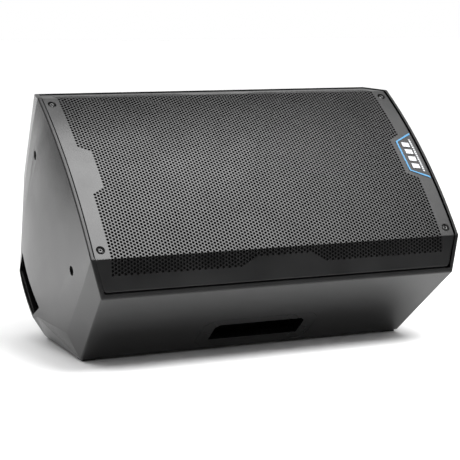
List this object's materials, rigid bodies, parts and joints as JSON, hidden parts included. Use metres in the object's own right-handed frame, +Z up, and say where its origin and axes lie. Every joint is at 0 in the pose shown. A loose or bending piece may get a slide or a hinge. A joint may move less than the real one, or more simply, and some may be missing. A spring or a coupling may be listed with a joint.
{
  "type": "stage monitor wedge",
  "caption": "Powered stage monitor loudspeaker lying on its angled side, with a perforated curved grille, moulded cabinet, hand recesses, pole socket and rear amplifier panel.",
  "frame": {"origin": "middle of the floor footprint of the whole loudspeaker, at the underside of its rubber feet", "axes": "+X along the cabinet's length from the tweeter end to the pole socket end, -Y towards the listener in front of the grille, +Z up"},
  "size_m": [0.6018, 0.3833, 0.3828],
  "materials": {
    "cabinet_plastic": "fine-textured moulded polypropylene, dark charcoal",
    "baffle_plastic": "fine-textured black",
    "grille_steel": "satin dark grey powder coat on perforated steel",
    "acoustic_foam": "open-cell black foam",
    "black_steel": "blackened",
    "badge": "blue outlined plate",
    "basket_steel": "black paint",
    "magnet_iron": "dark ferrite and zinc-plated iron",
    "paper_cone": "pressed paper pulp, black",
    "coil_copper": "wound enamelled copper wire",
    "rubber": "matt black",
    "spider_cloth": "impregnated woven cloth",
    "horn_plastic": "semi-gloss black",
    "handle_plastic": "fine-textured black",
    "panel_paint": "fine-textured black paint on steel",
    "heat_sink_aluminium": "black anodised",
    "circuit_board": "green solder mask",
    "connector_plastic": "black nylon",
    "knob_rubber": "soft-touch grey",
    "display_glass": "dark tinted window"
  },
  "bodies": {
    "cabinet": {"cabinet_shell": "cabinet_plastic", "front_baffle": "baffle_plastic", "grille": "grille_steel", "grille_foam": "acoustic_foam", "grille_screw_1": "black_steel", "grille_screw_2": "black_steel", "grille_screw_3": "black_steel", "grille_screw_4": "black_steel", "badge_plate": "badge", "woofer_basket": "basket_steel", "woofer_magnet": "magnet_iron", "woofer_surround": "rubber", "woofer_spider": "spider_cloth", "horn_waveguide": "horn_plastic", "compression_driver": "magnet_iron", "port_tube_1": "baffle_plastic", "port_tube_2": "baffle_plastic", "side_handle_1": "handle_plastic", "side_handle_2": "handle_plastic", "top_handle_pocket": "handle_plastic", "rigging_plug_1": "black_steel", "rigging_plug_2": "black_steel", "rigging_plug_3": "black_steel", "rigging_plug_4": "black_steel", "pole_socket": "handle_plastic", "wedge_foot_1": "rubber", "wedge_foot_2": "rubber", "wedge_foot_3": "rubber", "wedge_foot_4": "rubber", "end_foot_1": "rubber", "end_foot_2": "rubber", "end_foot_3": "rubber", "end_foot_4": "rubber", "amp_panel": "panel_paint", "amp_heat_sink": "heat_sink_aluminium", "amp_circuit_board": "circuit_board", "power_transformer": "coil_copper", "panel_screw_1": "black_steel", "panel_screw_2": "black_steel", "panel_screw_3": "black_steel", "panel_screw_4": "black_steel", "combo_jack_1": "connector_plastic", "combo_jack_2": "connector_plastic", "link_output": "connector_plastic", "display_window": "display_glass", "mains_inlet": "connector_plastic", "switch_housing": "connector_plastic", "acoustic_wadding": "acoustic_foam"},
    "woofer_moving_parts": {"woofer_cone": "paper_cone", "voice_coil": "coil_copper", "dust_cap": "paper_cone"},
    "gain_control_1": {"gain_knob_1": "knob_rubber"},
    "gain_control_2": {"gain_knob_2": "knob_rubber"},
    "menu_push_shaft": {"menu_shaft": "black_steel"},
    "menu_dial": {"menu_knob": "knob_rubber"},
    "select_key": {"select_button": "knob_rubber"},
    "power_switch": {"power_rocker": "connector_plastic"},
    "input_latch_1": {"jack_latch_1": "connector_plastic"},
    "input_latch_2": {"jack_latch_2": "connector_plastic"}
  },
  "joints": [
    {"name": "woofer_excursion", "type": "slide", "parent": "cabinet", "child": "woofer_moving_parts", "axis": [0, -0.6978, 0.7163], "range_m": [-0.006, 0.006], "stiffness_N_per_m": 2500, "deforming": ["woofer_surround", "woofer_spider"]},
    {"name": "gain_1_turn", "type": "hinge", "parent": "cabinet", "child": "gain_control_1", "pos_m": [-0.0501, 0.15498, 0.06856], "axis": [0, 0.6978, -0.7163], "range_deg": [-150, 150]},
    {"name": "gain_2_turn", "type": "hinge", "parent": "cabinet", "child": "gain_control_2", "pos_m": [-0.0501, 0.12059, 0.03506], "axis": [0, 0.6978, -0.7163], "range_deg": [-150, 150]},
    {"name": "menu_push", "type": "slide", "parent": "cabinet", "child": "menu_push_shaft", "axis": [0, -0.6978, 0.7163], "range_m": [0, 0.0008], "stiffness_N_per_m": 1500, "springref_m": -0.0006},
    {"name": "menu_turn", "type": "hinge", "parent": "menu_push_shaft", "child": "menu_dial", "pos_m": [-0.0801, 0.15068, 0.06437], "axis": [0, 0.6978, -0.7163], "continuous": true},
    {"name": "select_push", "type": "slide", "parent": "cabinet", "child": "select_key", "axis": [0, -0.6978, 0.7163], "range_m": [0, 0.0008], "stiffness_N_per_m": 1200, "springref_m": -0.0006},
    {"name": "power_rock", "type": "hinge", "parent": "cabinet", "child": "power_switch", "pos_m": [0.1329, 0.15437, 0.07634], "axis": [0, 0.7163, 0.6978], "range_deg": [0, 16]},
    {"name": "latch_1_press", "type": "slide", "parent": "cabinet", "child": "input_latch_1", "axis": [0, -0.6978, 0.7163], "range_m": [0, 0.001], "stiffness_N_per_m": 900, "springref_m": -0.0006},
    {"name": "latch_2_press", "type": "slide", "parent": "cabinet", "child": "input_latch_2", "axis": [0, -0.6978, 0.7163], "range_m": [0, 0.001], "stiffness_N_per_m": 900, "springref_m": -0.0006}
  ]
}
